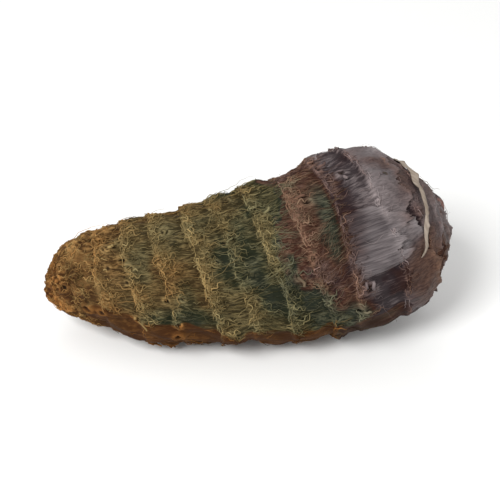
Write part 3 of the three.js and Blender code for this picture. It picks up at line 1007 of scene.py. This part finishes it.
def grow(name, where, density, **inputs):
    """Grows strands over the finished skin, so many on a square millimetre, as one plain mesh object."""
    tree = bpy.data.node_groups.get("strands_over_skin") or StrandTree().tree
    host = bpy.data.objects.new(name + "_host", bpy.data.objects["tuber_skin"].data)
    bpy.context.scene.collection.objects.link(host)
    modifier = host.modifiers.new("strands", "NODES")
    modifier.node_group = tree
    inputs |= {"where": where, "density": density / MM**2, "material": fibre_finish()}
    for item in tree.interface.items_tree:
        key = item.name.lower().replace(" ", "_")
        if item.in_out == "INPUT" and key in inputs:
            modifier[item.identifier] = inputs.pop(key)
    if inputs:
        raise RuntimeError(f"{name}: the strand tree has no inputs named {sorted(inputs)}")
    seen = host.evaluated_get(bpy.context.evaluated_depsgraph_get())
    mesh = bpy.data.meshes.new_from_object(seen)
    mesh.name = name
    host.modifiers.remove(modifier)
    bpy.data.objects.remove(host)
    for spare in [a.name for a in mesh.attributes if not a.is_internal and not a.is_required]:
        if spare not in ("tone", "hue", "OFBake", "material_index", "sharp_face"):
            mesh.attributes.remove(mesh.attributes[spare])
    mesh.shade_smooth()
    finished(name, mesh)


def finished(name, mesh, material=None):
    """An object for a finished mesh, riding on the tuber's one body."""
    if material:
        mesh.materials.append(material)
    made = bpy.data.objects.new(name, mesh)
    bpy.context.scene.collection.objects.link(made)
    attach(made, BODY)
    return made


# ---- finishes

def mixed(tree, factor, a, b):
    """A blend of two colours."""
    return put(tree, "ShaderNodeMix", {"Factor": factor, "A": a, "B": b}, "Result", data_type="RGBA")


def attribute(tree, name, output="Fac"):
    """A named value of the mesh, in a material."""
    return put(tree, "ShaderNodeAttribute", {}, output, attribute_name=name)


def coat_colour_at(tree, tone):
    """The coat's colour, from its place in the colour range and from dark to light."""
    looks = bpy.context.scene.tuber_colours
    tone = put(tree, "ShaderNodeClamp", {"Value": tone})
    ramps = []
    for shade in ("dark", "light"):
        ramps.append(put(tree, "ShaderNodeValToRGB", {"Fac": attribute(tree, "hue")}))
        stops = ramps[-1].socket.node.color_ramp.elements
        for i, (name, place) in enumerate(COAT_RANGE.items()):
            stop = stops[i] if i < 2 else stops.new(place)
            stop.position = place
            stop.color = (*getattr(looks, f"{name}_{shade}"), 1)
    return mixed(tree, tone, *ramps)


def new_finish(name, roughness, specular):
    """A material, its node tree and its shader, which waits for its colour."""
    material = bpy.data.materials.new(name)
    material.use_nodes = True
    shader = material.node_tree.nodes["Principled BSDF"]
    shader.inputs["Roughness"].default_value = roughness
    shader.inputs["Specular IOR Level"].default_value = specular
    return material, material.node_tree, shader


def bumped(tree, shader, height, strength, distance):
    """Gives a shader a bump, for detail too fine for the mesh."""
    bump = put(tree, "ShaderNodeBump", {"Height": height, "Strength": strength, "Distance": distance}, "Normal")
    tree.links.new(bump.socket, shader.inputs["Normal"])


def fibre_finish():
    """Dry root fibre, coloured strand by strand."""
    if "root_fibre" in bpy.data.materials:
        return bpy.data.materials["root_fibre"]
    material, tree, shader = new_finish("root_fibre", roughness=0.75, specular=0.04)
    tree.links.new(coat_colour_at(tree, attribute(tree, "tone")).socket, shader.inputs["Base Color"])
    return material


def striped_noise(tree, squeeze, scale, detail=3, roughness=0.6, distortion=0.5):
    """Noise drawn out over the skin: its places are squeezed along the skin and round it first."""
    inputs = {"Vector": attribute(tree, "grain", "Vector"), "Scale": squeeze}
    inputs = {"Vector": put(tree, "ShaderNodeMapping", inputs), "Scale": scale, "Detail": detail}
    inputs |= {"Roughness": roughness, "Distortion": distortion}
    return put(tree, "ShaderNodeTexNoise", inputs, "Fac")


def skin_finish():
    """The skin under the fibres: darkened as painted shade under them, cracked lengthwise, with pale collars
    round dark pits.
    """
    material, tree, shader = new_finish("tuber_skin", roughness=0.75, specular=0.08)
    strands = striped_noise(tree, (1 / 4.5, 1, 1), 1300, detail=4)
    blend = strands * 0.6 + striped_noise(tree, (1 / 6, 1, 1), 3600) * 0.4
    sleek = attribute(tree, "sleek")
    stripes = (blend - 0.5) * (sleek * -1.5 + 2.3)
    # The darkened ground and the shift of -0.12, smaller on the smooth strip, are painted shade under the
    # fibres
    colour = coat_colour_at(tree, attribute(tree, "ground") + (sleek * 0.08 - 0.12) + stripes)
    colour = mixed(tree, attribute(tree, "pit"), colour, (*bpy.context.scene.tuber_colours.pit_dark, 1))
    tree.links.new(colour.socket, shader.inputs["Base Color"])
    bumped(tree, shader, blend, strength=0.7, distance=0.0006)
    return material


def sheath_finish():
    """Papery leaf sheath: thin, striped along the skin, a little glossy."""
    material, tree, shader = new_finish("papery_sheath", roughness=0.55, specular=0.2)
    stripes = striped_noise(tree, (1 / 12, 1, 1), 2400)
    colour = coat_colour_at(tree, stripes * 0.8 + (attribute(tree, "tone") - 0.45))
    tree.links.new(colour.socket, shader.inputs["Base Color"])
    bumped(tree, shader, stripes, strength=0.5, distance=0.0004)
    return material


def strip_finish():
    """Dry leaf: pale, mottled, striped round the crown."""
    material, tree, shader = new_finish("dry_leaf", roughness=0.6, specular=0.15)
    stripes = striped_noise(tree, (1, 0.15, 0.15), 1600, roughness=0.5, distortion=0)
    looks = bpy.context.scene.tuber_colours
    colour = mixed(tree, stripes * 2 - 0.5, (*looks.leaf_dark, 1), (*looks.leaf_light, 1))
    tree.links.new(colour.socket, shader.inputs["Base Color"])
    return material


def floor_finish():
    """A plain pale floor."""
    material, _, shader = new_finish("pale_floor", roughness=0.9, specular=0.1)
    shader.inputs["Base Color"].default_value = (*bpy.context.scene.tuber_stage.floor, 1)
    return material


# ---- sizes and colours a user would change

# Each colour, dark and light, as linear RGB
COLOURS = {
    "ochre": ((0.044, 0.014, 0.003), (0.43, 0.18, 0.045)),
    "gold": ((0.032, 0.021, 0.007), (0.37, 0.264, 0.11)),
    "olive": ((0.014, 0.016, 0.007), (0.3, 0.265, 0.135)),
    "moss": ((0.013, 0.016, 0.011), (0.22, 0.215, 0.14)),
    "russet": ((0.034, 0.012, 0.007), (0.28, 0.157, 0.1)),
    "purple": ((0.018, 0.01, 0.011), (0.24, 0.165, 0.15)),
    "papery": ((0.04, 0.032, 0.034), (0.35, 0.305, 0.305)),
    "bud": ((0.1, 0.035, 0.03), (0.45, 0.25, 0.2)),
    "leaf": ((0.15, 0.115, 0.085), (0.34, 0.285, 0.235)),
    "pit": ((0.012, 0.008, 0.005),),
}
# The coat's colours and their places in its colour range
COAT_RANGE = {
    "ochre": 0, "gold": 0.27, "olive": 0.44, "moss": 0.54,
    "russet": 0.66, "purple": 0.8, "papery": 0.92, "bud": 1,
}

# The soft lights: place, size across and the stage's setting for its power
LIGHTS = {
    "key_light": ((-0.4, -0.34, 0.6), 0.32, "key"),
    "fill_light": ((0.6, -0.3, 0.35), 0.5, "fill_light"),
    "back_light": ((0.1, 0.6, 0.5), 0.4, "fill_light"),
}


def colour(label, value):
    """A colour that a user can change."""
    return bpy.props.FloatVectorProperty(
        name=label, description=f"{label}, as linear RGB", default=value, subtype="COLOR", min=0, max=1
    )


def number(label, text, value, unit="NONE", **limits):
    """A number that a user can change, not below 0 unless its limits say so."""
    limits = {"min": 0, **limits}
    return bpy.props.FloatProperty(name=label, description=text, default=value, unit=unit, **limits)


class TUBER_PG_colours(bpy.types.PropertyGroup):
    """The colours of the coat, of the dry leaf strip and of the root scars' pits"""

    __annotations__ = {
        f"{name}_{shade}": colour(f"{name.capitalize()}, {shade}", value)
        for name, pair in COLOURS.items()
        for shade, value in zip(("dark", "light"), pair)
    }


class TUBER_PG_coat(bpy.types.PropertyGroup):
    """How thick, long and wide the fibres stand"""

    fine_density: number("Fine fibres", "Fine fibres on a square millimetre of skin", 0.75)
    fine_length: number("Fine length", "Usual length of a fine fibre", 0.006, "LENGTH")
    fine_width: number("Fine width", "Usual width of a fine fibre", 0.00021, "LENGTH")
    band_density: number("Band fibres", "Fibres on a square millimetre just past a ring", 2.6)
    band_length: number("Band length", "Usual length of a fibre just past a ring", 0.003, "LENGTH")
    band_width: number("Band width", "Usual width of a fibre just past a ring", 0.00025, "LENGTH")
    rootlet_density: number("Curly rootlets", "Curly rootlets on a square millimetre just past a ring", 0.3)
    edge_density: number("Edge strands", "Strands on a square millimetre of a ring's edge", 2.6)
    edge_length: number("Edge length", "Usual length of a strand on a ring's edge", 0.0036, "LENGTH")
    curl_density: number("Tail curls", "Curly rootlets on a square millimetre at the tail", 0.8)
    hair_density: number("Loose hairs", "Long loose hairs on a square millimetre", 0.005)
    stub_density: number("Broken roots", "Broken roots on a square millimetre of a scar's pit", 0.3)


class TUBER_PG_stage(bpy.types.PropertyGroup):
    """Where the camera is, and how bright the lights and the floor are"""

    azimuth: number("Azimuth", "Which side the camera looks from", math.radians(-9), "ROTATION", min=-TURN)
    elevation: number("Elevation", "How far the camera looks down", math.radians(38), "ROTATION")
    lens: number("Lens", "Focal length in millimetres", 75, min=20)
    fill: number("Fill", "Share of the picture's width that the tuber takes", 0.82, min=0.1, max=1)
    key: number("Key light", "Power of the key light", 6.2, "POWER")
    fill_light: number("Fill light", "Power of the fill light", 1.2, "POWER")
    sky: number("Sky", "Strength of the even light", 0.55)
    floor: colour("Floor", (0.82, 0.82, 0.81))


# ---- one operator for each piece or group

class TUBER_OT_skin(bpy.types.Operator):
    """Build the closed, ringed skin with its root scars, in place of the plain solid"""

    bl_idname = "tuber.skin"
    bl_label = "Skin"

    def execute(self, context):
        shift_to_frame()
        skin = finished("tuber_skin", skin_mesh(), skin_finish())
        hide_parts(NODE)
        return {"FINISHED"}


class TUBER_OT_field(bpy.types.Operator):
    """Lay fine wavy fibres along the skin, between its rings"""

    bl_idname = "tuber.field"
    bl_label = "Fine fibres"

    def execute(self, context):
        coat = context.scene.tuber_coat
        layers = (1, 0.58, 1.1, 0.00008, -0.07), (2, 0.42, 0.75, 0.0002, 0.2)
        for layer, share, width, arch, shift in layers:
            grow(
                f"fine_fibres_{layer}", "field", coat.fine_density * share, length=coat.fine_length,
                width=coat.fine_width * width, sweep=0.35, crimp=0.00022, crimp_length=0.0042, wander=0.0009,
                arch=arch, tip_lift=0.00005, colour_from_place=0.8, tone_shift=shift, tone_spread=0.24,
                seed=100 * layer,
            )
        return {"FINISHED"}


class TUBER_OT_bands(bpy.types.Operator):
    """Tangle the golden mat just past each ring"""

    bl_idname = "tuber.bands"
    bl_label = "Golden bands"

    def execute(self, context):
        coat = context.scene.tuber_coat
        for layer, width, arch, shift in ((1, 1.1, 0.00012, -0.06), (2, 0.85, 0.0003, 0.2)):
            grow(
                f"golden_mat_{layer}", "band", coat.band_density * 0.5, length=coat.band_length,
                width=coat.band_width * width, points=8, sweep=1.9, crimp=0.00042, crimp_length=0.0018,
                curl=0.00025, wander=0.0012, arch=arch, tip_lift=0.00012, colour_from_place=0.5,
                tone_shift=shift, tone_spread=0.3, seed=200 + 100 * layer,
            )
        return {"FINISHED"}


class TUBER_OT_squiggles(bpy.types.Operator):
    """Scatter thicker curly rootlets over the golden bands"""

    bl_idname = "tuber.squiggles"
    bl_label = "Curly rootlets"

    def execute(self, context):
        grow(
            "curly_rootlets", "band", context.scene.tuber_coat.rootlet_density, length=0.0042,
            length_spread=0.45, width=0.00036, points=10, sides=4, sweep=2.6, crimp=0.0006,
            crimp_length=0.0025, curl=0.0003, wander=0.0015, arch=0.00035, tip_lift=0.0001,
            colour_from_place=0.3, tone_shift=0.3, seed=550,
        )
        return {"FINISHED"}


class TUBER_OT_edges(bpy.types.Operator):
    """Bind each ring with short bright strands that run round it"""

    bl_idname = "tuber.edges"
    bl_label = "Ring edges"

    def execute(self, context):
        coat = context.scene.tuber_coat
        grow(
            "ring_edges", "edge", coat.edge_density, length=coat.edge_length, points=6, along_ring=1.0,
            sweep=0.25, crimp=0.00028, crimp_length=0.0018, curl=0.0003, wander=0.0004, arch=0.0002,
            tip_lift=0.0, colour_from_place=0.3, tone_shift=0.36, tone_spread=0.28, seed=600,
        )
        return {"FINISHED"}


class TUBER_OT_curls(bpy.types.Operator):
    """Set thick curly rootlets over the corky tail"""

    bl_idname = "tuber.curls"
    bl_label = "Tail curls"

    def execute(self, context):
        grow(
            "tail_curls", "tail", context.scene.tuber_coat.curl_density, length=0.0026, length_spread=0.5,
            points=8, sides=4, sweep=1.5, crimp=0.00045, crimp_length=0.002, curl=0.00025, wander=0.0012,
            arch=0.0001, tip_lift=0.0, tone_shift=0.21, tone_spread=0.36, hue_shift=0.07, seed=700,
        )
        return {"FINISHED"}


class TUBER_OT_hairs(bpy.types.Operator):
    """Grow the few long loose hairs and the broken roots"""

    bl_idname = "tuber.hairs"
    bl_label = "Loose hairs and roots"

    def execute(self, context):
        coat = context.scene.tuber_coat
        grow(
            "loose_hairs", "anywhere", coat.hair_density, length=0.011, length_spread=0.5, width=0.00017,
            points=12, sweep=1.6, crimp=0.0004, crimp_length=0.006, wander=0.003, arch=0.0008,
            tip_lift=0.0011, tone_shift=0.25, tone_spread=0.25, seed=800,
        )
        grow(
            "broken_roots", "scar", coat.stub_density, length=0.0022, width=0.0009, tip_width=0.7, points=5,
            sides=7, sweep=2.0, crimp=0.0001, arch=0.0003, tip_lift=0.0012, root_depth=0.0004,
            tone_shift=0.1, seed=900,
        )
        return {"FINISHED"}


class TUBER_OT_sheaths(bpy.types.Operator):
    """Wrap the crown in its papery, ragged leaf sheaths"""

    bl_idname = "tuber.sheaths"
    bl_label = "Crown sheaths"

    def execute(self, context):
        sheaths = [sheath_places(i, *place) for i, place in enumerate(SHEATHS)]
        finished("crown_sheaths", shells_mesh("crown_sheaths", sheaths), sheath_finish())
        finished("leaf_strip", shells_mesh("leaf_strip", [strip_places()]), strip_finish())
        return {"FINISHED"}


class TUBER_OT_stage(bpy.types.Operator):
    """Set the pale floor, the soft lights and the camera"""

    bl_idname = "tuber.stage"
    bl_label = "Stage"

    def execute(self, context):
        stage = context.scene.tuber_stage
        corners = [(x * FLOOR_HALF, y * FLOOR_HALF, 0) for x, y in ((-1, -1), (1, -1), (1, 1), (-1, 1))]
        mesh = bpy.data.meshes.new("floor")
        mesh.from_pydata(corners, [], [(0, 1, 2, 3)])
        mesh.materials.append(floor_finish())
        floor = bpy.data.objects.new("floor", mesh)
        context.scene.collection.objects.link(floor)

        low, high = CAD_BOX
        middle = (low + high) / 2
        for name, (place, size, power) in LIGHTS.items():
            light = bpy.data.lights.new(name, "AREA")
            light.size = size
            light.energy = getattr(stage, power)
            aimed(name, light, place, middle - Vector(place))
        world = bpy.data.worlds.new("even_light")
        world.use_nodes = True
        sky = world.node_tree.nodes["Background"].inputs
        sky["Color"].default_value = (1, 1, 1, 1)
        sky["Strength"].default_value = stage.sky
        context.scene.world = world
        context.scene.view_settings.view_transform = "Standard"

        a, e = stage.azimuth, stage.elevation
        back = Vector((math.sin(a) * math.cos(e), -math.cos(a) * math.cos(e), math.sin(e)))
        camera = bpy.data.cameras.new("camera")
        camera.lens = stage.lens
        camera.clip_start = 0.01
        half_angle = math.atan(camera.sensor_width / 2 / stage.lens)
        reach = (high - low).x * math.cos(a) / 2 / stage.fill
        place = middle + back * (reach / math.tan(half_angle))
        context.scene.camera = aimed("camera", camera, place, -back)
        return {"FINISHED"}


def aimed(name, data, place, way):
    """An object for a light or a camera, at a place and facing a way."""
    made = bpy.data.objects.new(name, data)
    made.location = place
    made.rotation_mode = "QUATERNION"
    made.rotation_quaternion = way.to_track_quat("-Z", "Y")
    bpy.context.scene.collection.objects.link(made)
    return made


STEPS = (
    TUBER_OT_skin, TUBER_OT_field, TUBER_OT_bands, TUBER_OT_squiggles, TUBER_OT_edges, TUBER_OT_curls,
    TUBER_OT_sheaths, TUBER_OT_hairs, TUBER_OT_stage,
)


class TUBER_PT_panel(bpy.types.Panel):
    """The tuber's pieces and their sizes, in the 3D view's sidebar"""

    bl_label = "Yam Tuber"
    bl_idname = "TUBER_PT_panel"
    bl_space_type = "VIEW_3D"
    bl_region_type = "UI"
    bl_category = "Yam Tuber"

    def draw(self, context):
        for step in STEPS:
            self.layout.operator(step.bl_idname)
        for group in (context.scene.tuber_coat, context.scene.tuber_colours, context.scene.tuber_stage):
            box = self.layout.box()
            for name in group.bl_rna.properties.keys():
                if name not in ("rna_type", "name"):
                    box.prop(group, name)


GROUPS = {"tuber_colours": TUBER_PG_colours, "tuber_coat": TUBER_PG_coat, "tuber_stage": TUBER_PG_stage}


def register():
    for kind in (*GROUPS.values(), *STEPS, TUBER_PT_panel):
        bpy.utils.register_class(kind)
    for name, kind in GROUPS.items():
        setattr(bpy.types.Scene, name, bpy.props.PointerProperty(type=kind))


def unregister():
    for name in GROUPS:
        delattr(bpy.types.Scene, name)
    for kind in reversed((*GROUPS.values(), *STEPS, TUBER_PT_panel)):
        bpy.utils.unregister_class(kind)


def main():
    """Builds every piece and the stage."""
    register()
    for step in STEPS:
        group, name = step.bl_idname.split(".")
        getattr(getattr(bpy.ops, group), name)()


if __name__ == "__main__":
    main()
